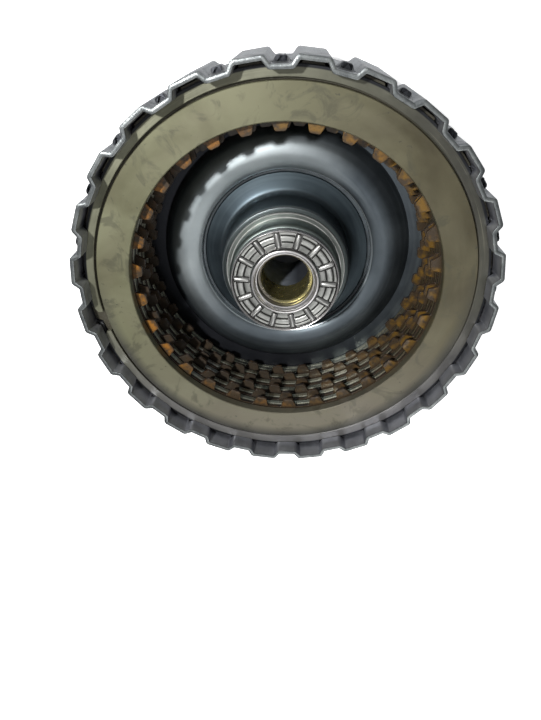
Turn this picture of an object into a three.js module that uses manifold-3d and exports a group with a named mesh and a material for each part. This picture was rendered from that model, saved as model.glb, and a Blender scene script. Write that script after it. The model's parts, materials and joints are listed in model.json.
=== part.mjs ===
// Multi-plate clutch drum of an automatic gearbox, in millimetres.
// The drum axis is +Z, the drum opens upwards and stands on its flat back wall at z = 0.
// "Depth" is measured down into the drum from the plane of its rim.

import * as THREE from "three";
import { mergeVertices } from "three/addons/utils/BufferGeometryUtils.js";
import Module from "manifold-3d";

const wasm = await Module();
wasm.setup();

// ---------- driving dimensions ----------

const DRUM_HEIGHT = 68.7;

// Sheet-metal drum shell
const SPLINES = 24;
const SHEET = 2.0; // wall thickness of the corrugated sheet
const VALLEY_RADIUS = 89.9; // inner face of the valleys
const CREST_RADIUS = 93; // inner face of the crests
const VALLEY_HALF_ANGLE = 3.0;
const CREST_HALF_ANGLE = 3.1;
const SHOULDER_DEPTH = 58.5; // inner floor beside the plate pack
const POCKET_RADIUS = 66.3; // oil pocket in which the piston's outer seal slides
const POCKET_DEPTH = 66.5;
const BACK_SHEET = 2.2;
const BACK_HOLE_RADIUS = 30.3;

// Groove for the ring that holds the backing plate, pressed outwards as a lug in each valley
const GROOVE_TOP = 7.9;
const GROOVE_BOTTOM = 10.6;
const GROOVE_RADIUS = 92.3;
const GROOVE_HALF_ANGLE = 4.3;
const LUG_RADIUS = 94.5;
const LUG_HALF_ANGLE = 2.0;
const LUG_CROWN_HALF_ANGLE = 1.2;
const LUG_WALL = 2.2;

// Plate pack
const GROUPS = 6; // friction plate and the steel plate behind it
const PACK_DEPTH = 12.95; // rear face of the backing plate
const PLAY = 0.35; // clearance between one group and the next
const LINING = 0.5;
const BOND = 0.1; // adhesive film under a lining
const CORE = 1.8;
const STEEL = 2.8;
const STEEL_GAP = 0.3;
const CUSHION = 2.3;
const GROUP_PITCH = PLAY + 2 * (LINING + BOND) + CORE + STEEL_GAP + STEEL;
const PACK_BORE = 70.9; // bore of the steel plates and the backing plate
const SPLINE_ROOT = 89.4;
const SPLINE_TIP = 92.4;
const SPLINE_ROOT_HALF_ANGLE = 3.8;
const SPLINE_TIP_HALF_ANGLE = 2.6;
const FRICTION_TEETH = 30;
const FRICTION_TIP = 66.4;
const FRICTION_ROOT = 71.1;
const FRICTION_TIP_HALF_ANGLE = 2.1;
const FRICTION_ROOT_HALF_ANGLE = 3.2;
const FRICTION_RIM = 88.6;
const LINING_BORE = 72.0;
const LINING_RIM = 88.1;
const FRICTION_CLOCKING = [6.8, 5.8, 0.3, 0.8, 6.9, 1.3]; // loose plates, each at its own angle

// Backing plate and its snap ring
const RAISED_FACE_DEPTH = 8.1;
const RAISED_FACE_RADIUS = 85.7;
const SNAP_RING_BORE = 86.8;
const SNAP_RING_RIM = 91.7;
const SNAP_RING_GAP_ANGLE = 191;
const SNAP_RING_GAP_HALF_ANGLE = 3.4;

// Hub
const HUB_BORE = 12.2;
const BUSH_SEAT = 13.2;
const NOSE_RADIUS = 15.8;
const NOSE_DEPTH = 13.7;
const BEARING_SEAT_DEPTH = 18.0;
const HUB_TOP_RADIUS = 25.3;
const LAND_RADIUS = 26.4;
const JOURNAL_RADIUS = 27.2;
const RETAINER_TOP = 27.6;
const RETAINER_BOTTOM = 29.4;
const RETAINER_RIM = 28.6;
const RETAINER_GAP_ANGLE = 300;
const RETAINER_GAP_HALF_ANGLE = 9;
const FLANGE_RADIUS = 30;
const BUSH_DEPTH = 18.7;
const BUSH_LENGTH = 18;
const BUSH_WALL = 1.4;

// Apply piston, pressed from one sheet: floor, well wall, rounded crown, skirt and pressure flange
const PISTON_SHEET = 2.2;
const PISTON_BORE = 29.5;
const PISTON_FLOOR_DEPTH = 58.0;
const WELL_RADIUS = 43.4;
const CROWN_RADIUS = 51;
const CROWN_DEPTH = 46.8;
const SKIRT_RADIUS = 62.4;
const SKIRT_END_DEPTH = 62.5;
const PRESSURE_FACE_DEPTH = 54.65;
const PRESSURE_FACE_RIM = 86.4;

// Balance piston: a neck round the hub, a shallow dish and a seal in the piston's well
const NECK_TOP_DEPTH = 29.7;
const NECK_RADIUS = 31.3;
const DISH_DEPTH = 50.9;
const DISH_RIM = 41.7;
const DISH_SHEET = 1.8;

// Disc spring between the balance piston and the piston floor
const SPRING_TOP_DEPTH = 51.1;
const SPRING_BORE = 31.2;
const SPRING_RIM = 42.1;
const SPRING_THICKNESS = 1.2;

// Thrust needle bearing
const ROLLERS = 14;
const ROLLER_RADIUS = 1.15;
const ROLLER_LENGTH = 6.8;
const ROLLER_CIRCLE = 20.3;
const ROLLER_DEPTH = 15.5;
const ROLLER_CLOCKING = 21.6;
const CAGE_BORE = 16.2;
const CAGE_RIM = 24.3;
const CAGE_TOP = 14.8;
const CAGE_THICKNESS = 1.3;

const DEGREE = Math.PI / 180;

// ---------- geometry helpers ----------

const level = (depth) => DRUM_HEIGHT - depth;

const polar = (radius, degrees) =>
  new THREE.Vector2(radius * Math.cos(degrees * DEGREE), radius * Math.sin(degrees * DEGREE));

function circlePoints(radius, count) {
  return Array.from({ length: count }, (_, i) => polar(radius, (i * 360) / count));
}

// A spline or tooth outline: each period has a low land around its start and a high land around its middle.
function splinePoints(count, low, lowHalf, high, highHalf, clocking = 0) {
  const period = 360 / count;
  const points = [];
  for (let i = 0; i < count; i++) {
    const start = clocking + i * period;
    const middle = start + period / 2;
    points.push(polar(low, start - lowHalf), polar(low, start + lowHalf));
    points.push(polar(high, middle - highHalf), polar(high, middle + highHalf));
  }
  return points;
}

// The same outline moved outwards by a distance, with mitred corners.
function offsetOutwards(points, distance) {
  const count = points.length;
  const normalAfter = (i) => {
    const edge = points[(i + 1) % count].clone().sub(points[i % count]);
    return new THREE.Vector2(edge.y, -edge.x).normalize();
  };
  return points.map((point, i) => {
    const before = normalAfter(i + count - 1);
    const after = normalAfter(i);
    const mitre = before.clone().add(after).divideScalar(1 + before.dot(after));
    return point.clone().addScaledVector(mitre, distance);
  });
}

// A flat plate between two depths, with an optional hole.
function plate(outline, hole, topDepth, bottomDepth) {
  const shape = new THREE.Shape(outline);
  if (hole) shape.holes.push(new THREE.Path(hole));
  const thickness = bottomDepth - topDepth;
  const geometry = new THREE.ExtrudeGeometry(shape, { depth: thickness, bevelEnabled: false });
  return geometry.translate(0, 0, level(bottomDepth));
}

// A body of revolution about +Z from a closed section of [radius, depth] points.
function turned(section, segments) {
  const points = section.map(([radius, depth]) => new THREE.Vector2(radius, level(depth)));
  if (THREE.ShapeUtils.area(points) < 0) points.reverse();
  const onAxis = points.some((point) => point.x === 0);
  if (!onAxis) points.push(points[0].clone());
  return new THREE.LatheGeometry(points, segments).rotateX(Math.PI / 2);
}

// A full disc as a section that starts and ends on the axis.
function discSection(rim, topDepth, bottomDepth) {
  return [[0, bottomDepth], [rim, bottomDepth], [rim, topDepth], [0, topDepth]];
}

function solid(geometry) {
  const bare = geometry.clone();
  bare.deleteAttribute("normal");
  bare.deleteAttribute("uv");
  const merged = mergeVertices(bare, 1e-4);
  return new wasm.Manifold(
    new wasm.Mesh({
      numProp: 3,
      vertProperties: merged.attributes.position.array,
      triVerts: new Uint32Array(merged.index.array),
    }),
  );
}

function geometryOf(body) {
  const mesh = body.getMesh();
  const geometry = new THREE.BufferGeometry();
  geometry.setAttribute("position", new THREE.BufferAttribute(mesh.vertProperties, 3));
  geometry.setIndex(new THREE.BufferAttribute(mesh.triVerts, 1));
  geometry.computeVertexNormals();
  return geometry;
}

// ---------- materials ----------

const metal = (color, roughness, metalness = 1) =>
  new THREE.MeshStandardMaterial({ color, roughness, metalness, flatShading: true });

function part(name, geometry, material) {
  const mesh = new THREE.Mesh(geometry, material);
  mesh.name = name;
  return mesh;
}

// ---------- drum shell ----------

function drumShell() {
  const inner = splinePoints(SPLINES, VALLEY_RADIUS, VALLEY_HALF_ANGLE, CREST_RADIUS, CREST_HALF_ANGLE);
  const outer = offsetOutwards(inner, SHEET);
  const shoulderBottom = SHOULDER_DEPTH + BACK_SHEET;
  const bossRadius = POCKET_RADIUS + BACK_SHEET;

  const corrugated = solid(plate(outer, null, 0, SHOULDER_DEPTH - 3));
  const back = solid(turned([
    [0, DRUM_HEIGHT], [bossRadius - 3, DRUM_HEIGHT], [bossRadius - 0.9, DRUM_HEIGHT - 0.9],
    [bossRadius, DRUM_HEIGHT - 3], [bossRadius, shoulderBottom], [87.5, shoulderBottom],
    [90.3, shoulderBottom - 1.2], [91.5, SHOULDER_DEPTH - 1.5], [91.5, SHOULDER_DEPTH - 6],
    [0, SHOULDER_DEPTH - 6],
  ], 48));
  const cavity = solid(plate(inner, null, -1, SHOULDER_DEPTH - 4));
  const floor = solid(turned([
    [0, SHOULDER_DEPTH - 5], [89.5, SHOULDER_DEPTH - 5], [89.5, SHOULDER_DEPTH - 2],
    [87.5, SHOULDER_DEPTH], [POCKET_RADIUS, SHOULDER_DEPTH], [POCKET_RADIUS, POCKET_DEPTH - 1],
    [POCKET_RADIUS - 1, POCKET_DEPTH], [0, POCKET_DEPTH],
  ], 48));
  const hole = solid(turned(discSection(BACK_HOLE_RADIUS, POCKET_DEPTH - 2, DRUM_HEIGHT + 2), 36));

  let shell = corrugated.add(back);
  for (let i = 0; i < SPLINES; i++) shell = shell.add(grooveLug(i));
  shell = shell.subtract(cavity).subtract(floor).subtract(hole);
  for (let i = 0; i < SPLINES; i++) shell = shell.subtract(grooveCut(i));
  return part("drum_shell", geometryOf(shell), metal(0x8b9197, 0.42));
}

// The hump that the pressed-out groove makes on the outside of one valley.
function grooveLug(index) {
  const middle = (index * 360) / SPLINES;
  const foot = VALLEY_RADIUS + SHEET - 0.6;
  const outline = [
    polar(foot, middle - LUG_HALF_ANGLE), polar(LUG_RADIUS, middle - LUG_CROWN_HALF_ANGLE),
    polar(LUG_RADIUS, middle + LUG_CROWN_HALF_ANGLE), polar(foot, middle + LUG_HALF_ANGLE),
  ];
  return solid(plate(outline, null, GROOVE_TOP - LUG_WALL, GROOVE_BOTTOM + LUG_WALL));
}

// The stretch of groove in one valley. It also shears through the flanks beside the lug.
function grooveCut(index) {
  const middle = (index * 360) / SPLINES;
  const outline = [
    polar(VALLEY_RADIUS - 2, middle - GROOVE_HALF_ANGLE), polar(GROOVE_RADIUS, middle - GROOVE_HALF_ANGLE),
    polar(GROOVE_RADIUS, middle + GROOVE_HALF_ANGLE), polar(VALLEY_RADIUS - 2, middle + GROOVE_HALF_ANGLE),
  ];
  return solid(plate(outline, null, GROOVE_TOP, GROOVE_BOTTOM));
}

// ---------- hub and bush ----------

function hub() {
  const section = [
    [BUSH_SEAT, NOSE_DEPTH + 3.2], [NOSE_RADIUS - 1.2, NOSE_DEPTH], [NOSE_RADIUS - 0.3, NOSE_DEPTH],
    [NOSE_RADIUS, NOSE_DEPTH + 0.4], [NOSE_RADIUS, BEARING_SEAT_DEPTH], [HUB_TOP_RADIUS, BEARING_SEAT_DEPTH],
    [LAND_RADIUS, BEARING_SEAT_DEPTH + 1.2], [LAND_RADIUS, RETAINER_TOP], [LAND_RADIUS - 1.2, RETAINER_TOP],
    [LAND_RADIUS - 1.2, RETAINER_BOTTOM], [JOURNAL_RADIUS, RETAINER_BOTTOM], [JOURNAL_RADIUS, POCKET_DEPTH],
    [FLANGE_RADIUS, POCKET_DEPTH], [FLANGE_RADIUS, DRUM_HEIGHT], [HUB_BORE, DRUM_HEIGHT],
    [HUB_BORE, BUSH_DEPTH + BUSH_LENGTH + 0.5], [BUSH_SEAT, BUSH_DEPTH + BUSH_LENGTH + 0.5],
  ];
  return part("hub", geometryOf(solid(turned(section, 36))), metal(0xa9a9a6, 0.3));
}

function hubBush() {
  const bottom = BUSH_DEPTH + BUSH_LENGTH;
  const rim = BUSH_SEAT - 0.3;
  const bore = rim - BUSH_WALL;
  const section = [
    [bore + 0.5, BUSH_DEPTH], [rim, BUSH_DEPTH], [rim, bottom], [bore, bottom], [bore, BUSH_DEPTH + 0.5],
  ];
  return part("hub_bush", turned(section, 30), metal(0xb59a3c, 0.35));
}

// ---------- piston, spring and balance piston ----------

function applyPiston() {
  const floorBottom = PISTON_FLOOR_DEPTH + PISTON_SHEET;
  const wellOutside = WELL_RADIUS + PISTON_SHEET;
  const flangeBottom = PRESSURE_FACE_DEPTH + PISTON_SHEET;
  const skirtInside = SKIRT_RADIUS - PISTON_SHEET;
  const section = [
    [PISTON_BORE, PISTON_FLOOR_DEPTH], [WELL_RADIUS, PISTON_FLOOR_DEPTH], [WELL_RADIUS, CROWN_DEPTH + 4.2],
    [WELL_RADIUS + 1.2, CROWN_DEPTH + 2.2], [CROWN_RADIUS - 3.7, CROWN_DEPTH + 0.5],
    [CROWN_RADIUS, CROWN_DEPTH], [CROWN_RADIUS + 4, CROWN_DEPTH + 0.7], [CROWN_RADIUS + 8, CROWN_DEPTH + 2.9],
    [SKIRT_RADIUS + 0.4, PRESSURE_FACE_DEPTH], [PRESSURE_FACE_RIM, PRESSURE_FACE_DEPTH],
    [PRESSURE_FACE_RIM, flangeBottom], [SKIRT_RADIUS, flangeBottom], [SKIRT_RADIUS, SKIRT_END_DEPTH],
    [skirtInside, SKIRT_END_DEPTH], [skirtInside, PRESSURE_FACE_DEPTH], [CROWN_RADIUS + 4.6, CROWN_DEPTH + 3.1],
    [CROWN_RADIUS, CROWN_DEPTH + 2.3], [CROWN_RADIUS - 3.6, CROWN_DEPTH + 2.9],
    [wellOutside, CROWN_DEPTH + 4.8], [wellOutside, floorBottom], [PISTON_BORE, floorBottom],
  ];
  return part("apply_piston", turned(section, 40), metal(0x39434c, 0.28));
}

function pistonOuterSeal() {
  const bore = SKIRT_RADIUS + 0.35;
  const lip = POCKET_RADIUS - 0.35;
  const section = [[bore, 58.0], [lip - 1, 58.0], [lip, 61.4], [lip - 1.4, 60.4], [bore, 61.8]];
  return part("piston_outer_seal", turned(section, 40), metal(0x1b1c1e, 0.7, 0));
}

function pistonInnerSeal() {
  const rim = PISTON_BORE - 0.35;
  const bottom = PISTON_FLOOR_DEPTH + PISTON_SHEET;
  const section = [
    [JOURNAL_RADIUS + 0.3, bottom - 0.9], [rim - 0.85, PISTON_FLOOR_DEPTH], [rim, PISTON_FLOOR_DEPTH],
    [rim, bottom],
  ];
  return part("piston_inner_seal", turned(section, 36), metal(0x1b1c1e, 0.7, 0));
}

// A coned disc: its outer edge presses on the piston and its inner edge on the balance piston.
function returnSpring() {
  const lowest = PISTON_FLOOR_DEPTH - 0.3;
  const section = [
    [SPRING_BORE, SPRING_TOP_DEPTH + SPRING_THICKNESS], [SPRING_BORE + 0.2, SPRING_TOP_DEPTH],
    [SPRING_RIM, lowest - SPRING_THICKNESS], [SPRING_RIM - 0.2, lowest],
  ];
  return part("return_spring", turned(section, 36), metal(0x5a5f66, 0.4));
}

function balancePiston() {
  const bore = JOURNAL_RADIUS + 0.3;
  const lipBottom = NECK_TOP_DEPTH + DISH_SHEET;
  const section = [
    [bore, NECK_TOP_DEPTH], [NECK_RADIUS - 1.3, NECK_TOP_DEPTH], [NECK_RADIUS - 0.3, NECK_TOP_DEPTH + 1],
    [NECK_RADIUS, DISH_DEPTH - 4.3], [NECK_RADIUS + 1.3, DISH_DEPTH - 2],
    [NECK_RADIUS + 5.7, DISH_DEPTH - 0.8],
    [DISH_RIM, DISH_DEPTH], [DISH_RIM, DISH_DEPTH + DISH_SHEET],
    [NECK_RADIUS + 5.3, DISH_DEPTH + 1], [NECK_RADIUS + 0.1, DISH_DEPTH - 0.2],
    [NECK_RADIUS - DISH_SHEET, DISH_DEPTH - 3.7], [NECK_RADIUS - DISH_SHEET - 0.3, lipBottom],
    [bore, lipBottom],
  ];
  return part("balance_piston", turned(section, 36), metal(0x2b343d, 0.35));
}

function balancePistonSeal() {
  const bore = DISH_RIM + 0.3;
  const rim = WELL_RADIUS - 0.3;
  const bottom = DISH_DEPTH + 2.1;
  const section = [
    [bore, DISH_DEPTH], [bore + 0.6, DISH_DEPTH - 0.4], [rim, DISH_DEPTH + 0.3], [rim, bottom], [bore, bottom],
  ];
  return part("balance_piston_seal", turned(section, 36), metal(0x1b1c1e, 0.7, 0));
}

// ---------- open rings ----------

// A flat ring with a gap: the outline runs round the rim and back along the bore.
function openRing(bore, rim, topDepth, bottomDepth, gapAngle, gapHalfAngle, segments) {
  const start = gapAngle + gapHalfAngle;
  const sweep = 360 - 2 * gapHalfAngle;
  const angles = Array.from({ length: segments + 1 }, (_, i) => start + (sweep * i) / segments);
  const outline = [
    ...angles.map((angle) => polar(rim, angle)),
    ...angles.reverse().map((angle) => polar(bore, angle)),
  ];
  return plate(outline, null, topDepth, bottomDepth);
}

function retainerSnapRing() {
  const ring = openRing(
    LAND_RADIUS - 0.9, RETAINER_RIM, RETAINER_TOP + 0.3, RETAINER_BOTTOM - 0.1,
    RETAINER_GAP_ANGLE, RETAINER_GAP_HALF_ANGLE, 30,
  );
  return part("retainer_snap_ring", ring, metal(0xb4b6b8, 0.25));
}

function backingSnapRing() {
  const ring = openRing(
    SNAP_RING_BORE, SNAP_RING_RIM, GROOVE_TOP + 0.3, GROOVE_BOTTOM - 0.3,
    SNAP_RING_GAP_ANGLE, SNAP_RING_GAP_HALF_ANGLE, 48,
  );
  return part("backing_snap_ring", ring, metal(0x77766b, 0.4));
}

// ---------- plate pack ----------

function externalSplines() {
  return splinePoints(SPLINES, SPLINE_ROOT, SPLINE_ROOT_HALF_ANGLE - 0.1, SPLINE_TIP, SPLINE_TIP_HALF_ANGLE);
}

function backingPlate() {
  const bore = circlePoints(PACK_BORE, 40);
  const shoulder = solid(plate(externalSplines(), bore, GROOVE_BOTTOM, PACK_DEPTH));
  const raised = solid(plate(circlePoints(RAISED_FACE_RADIUS, 48), bore, RAISED_FACE_DEPTH, GROOVE_BOTTOM + 1));
  return part("backing_plate", geometryOf(shoulder.add(raised)), metal(0x8a8a6e, 0.45));
}

function toothedSteel(name, topDepth, bottomDepth) {
  const geometry = plate(externalSplines(), circlePoints(PACK_BORE, 30), topDepth, bottomDepth);
  return part(name, geometry, metal(0x7c8380, 0.35));
}

function frictionCore(name, topDepth, clocking) {
  const teeth = splinePoints(
    FRICTION_TEETH, FRICTION_TIP, FRICTION_TIP_HALF_ANGLE,
    FRICTION_ROOT, 180 / FRICTION_TEETH - FRICTION_ROOT_HALF_ANGLE, clocking,
  );
  const geometry = plate(circlePoints(FRICTION_RIM, 24), teeth, topDepth, topDepth + CORE);
  return part(name, geometry, metal(0x8a5a28, 0.4, 0.3));
}

function lining(name, topDepth) {
  const rim = circlePoints(LINING_RIM, 20);
  const bore = circlePoints(LINING_BORE, 20);
  return part(name, plate(rim, bore, topDepth, topDepth + LINING), metal(0x4a3626, 0.9, 0));
}

function plateGroup(index) {
  const group = new THREE.Group();
  const number = index + 1;
  const frontLining = PACK_DEPTH + index * GROUP_PITCH + PLAY;
  const core = frontLining + LINING + BOND;
  const rearLining = core + CORE + BOND;
  const steel = rearLining + LINING + STEEL_GAP;
  group.add(
    lining(`lining_front_${number}`, frontLining),
    frictionCore(`friction_plate_${number}`, core, FRICTION_CLOCKING[index]),
    lining(`lining_rear_${number}`, rearLining),
    toothedSteel(`steel_plate_${number}`, steel, steel + STEEL),
  );
  return group;
}

function platePack() {
  const pack = new THREE.Group();
  for (let i = 0; i < GROUPS; i++) pack.add(plateGroup(i));
  const cushion = PACK_DEPTH + GROUPS * GROUP_PITCH + PLAY;
  pack.add(toothedSteel("cushion_plate", cushion, cushion + CUSHION));
  return pack;
}

// ---------- thrust needle bearing ----------

function bearingRace() {
  const top = ROLLER_DEPTH + ROLLER_RADIUS + 0.1;
  const bottom = BEARING_SEAT_DEPTH - 0.3;
  const section = [
    [CAGE_BORE, top], [CAGE_RIM + 0.25, top], [CAGE_RIM + 0.25, NOSE_DEPTH + 0.1],
    [HUB_TOP_RADIUS - 0.1, NOSE_DEPTH + 0.1], [HUB_TOP_RADIUS - 0.1, bottom], [CAGE_BORE, bottom],
  ];
  return part("bearing_race", turned(section, 36), metal(0xb9bab8, 0.22));
}

function placeRadially(object, index) {
  const angle = (ROLLER_CLOCKING + (index * 360) / ROLLERS) * DEGREE;
  object.rotation.z = angle;
  return object;
}

function bearingCage() {
  const rim = circlePoints(CAGE_RIM, 42);
  const bore = circlePoints(CAGE_BORE, 42);
  let cage = solid(plate(rim, bore, CAGE_TOP, CAGE_TOP + CAGE_THICKNESS));
  const window = new THREE.BoxGeometry(ROLLER_LENGTH + 0.2, 2 * ROLLER_RADIUS + 0.3, 4);
  window.translate(ROLLER_CIRCLE, 0, level(ROLLER_DEPTH));
  for (let i = 0; i < ROLLERS; i++) {
    const pocket = placeRadially(new THREE.Object3D(), i);
    pocket.updateMatrix();
    cage = cage.subtract(solid(window.clone().applyMatrix4(pocket.matrix)));
  }
  return part("bearing_cage", geometryOf(cage), metal(0x9fa19f, 0.3));
}

function roller(index) {
  const geometry = new THREE.CylinderGeometry(ROLLER_RADIUS, ROLLER_RADIUS, ROLLER_LENGTH, 10);
  geometry.rotateZ(Math.PI / 2).translate(ROLLER_CIRCLE, 0, level(ROLLER_DEPTH));
  const name = `roller_${String(index + 1).padStart(2, "0")}`;
  return placeRadially(part(name, geometry, metal(0xd2d3d1, 0.15)), index);
}

function thrustBearing() {
  const bearing = new THREE.Group();
  bearing.add(bearingRace(), bearingCage());
  for (let i = 0; i < ROLLERS; i++) bearing.add(roller(i));
  return bearing;
}

// ---------- assembly ----------

const clutchDrum = new THREE.Group();
clutchDrum.add(
  drumShell(),
  hub(),
  hubBush(),
  applyPiston(),
  pistonOuterSeal(),
  pistonInnerSeal(),
  returnSpring(),
  balancePiston(),
  balancePistonSeal(),
  retainerSnapRing(),
  platePack(),
  backingPlate(),
  backingSnapRing(),
  thrustBearing(),
);

export default clutchDrum;
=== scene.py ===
"""Looks of the multi-plate clutch drum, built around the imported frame.

Lengths are millimetres until a mesh is made, and a depth is measured down from the drum's rim. Names that end
in HALF or CLOCKING are angles in degrees. In the materials, x, y, z and radius are metres.
"""

import json
import math

import bmesh
import bpy
import numpy as np
from mathutils import Matrix, Vector, noise


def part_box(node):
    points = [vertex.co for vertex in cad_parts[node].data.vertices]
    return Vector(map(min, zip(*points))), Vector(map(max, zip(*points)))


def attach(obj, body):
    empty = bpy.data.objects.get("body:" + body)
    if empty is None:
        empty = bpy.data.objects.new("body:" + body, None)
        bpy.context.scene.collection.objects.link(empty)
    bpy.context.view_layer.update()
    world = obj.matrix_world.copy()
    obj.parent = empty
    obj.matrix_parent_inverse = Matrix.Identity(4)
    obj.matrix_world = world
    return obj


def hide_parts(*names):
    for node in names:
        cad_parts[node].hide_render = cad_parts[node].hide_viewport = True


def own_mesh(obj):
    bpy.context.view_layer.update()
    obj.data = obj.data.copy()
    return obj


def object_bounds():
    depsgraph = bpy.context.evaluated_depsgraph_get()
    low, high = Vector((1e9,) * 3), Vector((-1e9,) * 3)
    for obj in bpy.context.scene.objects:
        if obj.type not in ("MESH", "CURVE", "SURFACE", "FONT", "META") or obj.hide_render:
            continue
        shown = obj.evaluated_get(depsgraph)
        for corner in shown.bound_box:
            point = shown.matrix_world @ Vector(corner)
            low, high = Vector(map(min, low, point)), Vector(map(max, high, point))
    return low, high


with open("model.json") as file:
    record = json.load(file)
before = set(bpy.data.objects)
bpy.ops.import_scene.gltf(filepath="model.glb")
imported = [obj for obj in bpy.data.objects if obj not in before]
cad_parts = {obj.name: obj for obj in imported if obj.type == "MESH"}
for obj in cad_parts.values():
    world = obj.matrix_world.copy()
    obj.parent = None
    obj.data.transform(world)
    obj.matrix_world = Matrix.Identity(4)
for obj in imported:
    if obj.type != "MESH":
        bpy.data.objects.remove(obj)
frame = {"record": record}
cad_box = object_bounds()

MM = 0.001
HEIGHT = cad_box[1].z / MM

# Drum sheet
SPLINES = 24
SHEET = 2.0
VALLEY = 89.9
VALLEY_HALF = 3.0
CREST = 93.0
CREST_HALF = 3.1
TIGHT_BEND = 0.5
WIDE_BEND = 1.7
POCKET = 66.3
POCKET_DEPTH = 66.5
SHOULDER_DEPTH = 58.5
BACK_SHEET = 2.2
BACK_HOLE = 30.3
GROOVE_TOP = 7.9
GROOVE_BOTTOM = 10.6
GROOVE_RADIUS = 92.3
GROOVE_HALF = 4.3
LUG_HEIGHT = 2.5
LUG_HALF = 2.35
LUG_TOP = 5.3
LUG_BOTTOM = 13.2
MOUTH_BOTTOM = GROOVE_TOP - 0.5
MOUTH_INNER = 92.1
MOUTH_OUTER = 93.8
MOUTH_HALF = 1.2

# Plate pack
BORE = 70.9
SPLINE_ROOT = 89.4
SPLINE_ROOT_HALF = 3.7
SPLINE_TIP = 92.4
SPLINE_TIP_HALF = 2.6
TEETH = 30
TOOTH_TIP = 66.4
TOOTH_TIP_HALF = 1.95
TOOTH_ROOT = 71.1
TOOTH_ROOT_HALF = 3.2
CORE_RIM = 88.6
CLOCKING = [6.8, 5.8, 0.3, 0.8, 6.9, 1.3]
LINING_BORE = 72.0
LINING_RIM = 88.1
OIL_GROOVES = 40
RAISED_FACE = 85.7

# Snap rings: bore, rim, angle of the gap, half its width
BACKING_RING = (86.35, 91.3, 191.0, 3.4)
RETAINER_RING = (25.5, 28.6, 300.0, 9.0)

# Hub and thrust bearing
HUB_BORE = 12.2
BUSH_SEAT = 13.2
BUSH_BORE = 11.5
NOSE = 15.8
HUB_TOP = 25.3
LAND = 26.4
JOURNAL = 27.2
FLANGE = 30.0
BUSH_DEPTH = 18.7
BUSH_LENGTH = 18.0
BEARING_SEAT_DEPTH = 18.0
LAND_BOTTOM = 27.6
JOURNAL_TOP = 29.4
RETAINER_SEAT = LAND - 1.2
ROLLERS = 14
ROLLER_RADIUS = 1.32
ROLLER_LENGTH = 6.8
ROLLER_CIRCLE = 20.3
ROLLER_CLOCKING = 21.6
CAGE_BORE = 16.2
CAGE_RIM = 24.3
CAGE_SHEET = 0.5

# Pistons and spring
PISTON_SHEET = 2.2
PISTON_FLOOR = 58.0
PISTON_BORE = 29.5
WELL = 43.4
WELL_BOTTOM = 56.8
SKIRT = 62.4
FLANGE_TOP = 54.65
PISTON_RIM = 86.4
NECK = 31.3
DISH_RIM = 41.7
SPRING_BORE = 31.2
SPRING_RIM = 42.1

record = frame["record"]
BODY_OF = {node: body for body, nodes in record["behaviour"]["bodies"].items() for node in nodes}


def level(depth):
    """Height in metres of a depth."""
    return (HEIGHT - depth) * MM


def depths(node):
    """Top and bottom depth of a CAD node."""
    low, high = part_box(node)
    return HEIGHT - high.z / MM, HEIGHT - low.z / MM


# ---------- outlines and sections ----------


def polar(radius, degrees):
    angle = math.radians(degrees)
    return np.array([radius * math.cos(angle), radius * math.sin(angle)])


def toothed(count, low, low_half, high, high_half, clocking=0.0):
    """Corners of a spline or tooth outline, with a low land at the start of each period and a high one in
    its middle."""
    period = 360 / count
    corners = []
    for start in np.arange(count) * period + clocking:
        corners += [polar(low, start - low_half), polar(low, start + low_half)]
        middle = start + period / 2
        corners += [polar(high, middle - high_half), polar(high, middle + high_half)]
    return corners


def offset(corners, distance):
    """The same outline moved outwards, with mitred corners."""
    count = len(corners)
    normals = []
    for i in range(count):
        edge = corners[(i + 1) % count] - corners[i]
        normals.append(np.array([edge[1], -edge[0]]) / np.linalg.norm(edge))
    moved = []
    for i, corner in enumerate(corners):
        before, after = normals[i - 1], normals[i]
        moved.append(corner + distance * (before + after) / (1 + before @ after))
    return moved


def rounded(corners, radii, between=(0,)):
    """A closed outline whose corners are arcs, with extra points on the straight stretches between them.
    radii and between repeat along the corners."""
    arc_points = 4
    longest_share = 0.45
    count = len(corners)
    arcs = []
    for i, here in enumerate(corners):
        before, after = corners[i - 1] - here, corners[(i + 1) % count] - here
        lengths = np.linalg.norm(before), np.linalg.norm(after)
        before, after = before / lengths[0], after / lengths[1]
        half = math.acos(max(-1.0, min(1.0, before @ after))) / 2
        reach = min(radii[i % len(radii)] / math.tan(half), longest_share * min(lengths))
        centre = here + (before + after) * reach / (1 + before @ after)
        first, last = here + before * reach - centre, here + after * reach - centre
        size = np.linalg.norm(first)
        arc = []
        for share in np.linspace(0, 1, arc_points):
            spoke = first * (1 - share) + last * share
            arc.append(centre + spoke * size / np.linalg.norm(spoke))
        arcs.append(arc)
    outline = []
    for i, arc in enumerate(arcs):
        outline += arc
        steps = between[i % len(between)]
        for k in range(1, steps + 1):
            share = k / (steps + 1)
            outline.append(arc[-1] * (1 - share) + arcs[(i + 1) % count][0] * share)
    return np.array(outline)


def circle(radius, count):
    angles = np.arange(count) * 2 * math.pi / count
    return radius * np.stack([np.cos(angles), np.sin(angles)], axis=1)


def circle_like(outline, radius):
    """A circle whose points stand at the same angles as the outline's."""
    return outline * (radius / np.linalg.norm(outline, axis=1))[:, None]


def smooth_line(points, steps):
    """A smooth curve (Catmull-Rom) through [radius, depth] points."""
    points = [np.array(p, float) for p in points]
    ends = [2 * points[0] - points[1], *points, 2 * points[-1] - points[-2]]
    line = []
    for a, b, c, d in zip(ends, ends[1:], ends[2:], ends[3:]):
        for t in np.arange(steps) / steps:
            squared, cubed = 2 * a - 5 * b + 4 * c - d, 3 * b - a - 3 * c + d
            line.append(0.5 * (2 * b + (c - a) * t + squared * t**2 + cubed * t**3))
    return line + [points[-1]]


def smoothstep(x):
    x = min(max(x, 0.0), 1.0)
    return x * x * (3 - 2 * x)


# ---------- meshes ----------


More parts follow.
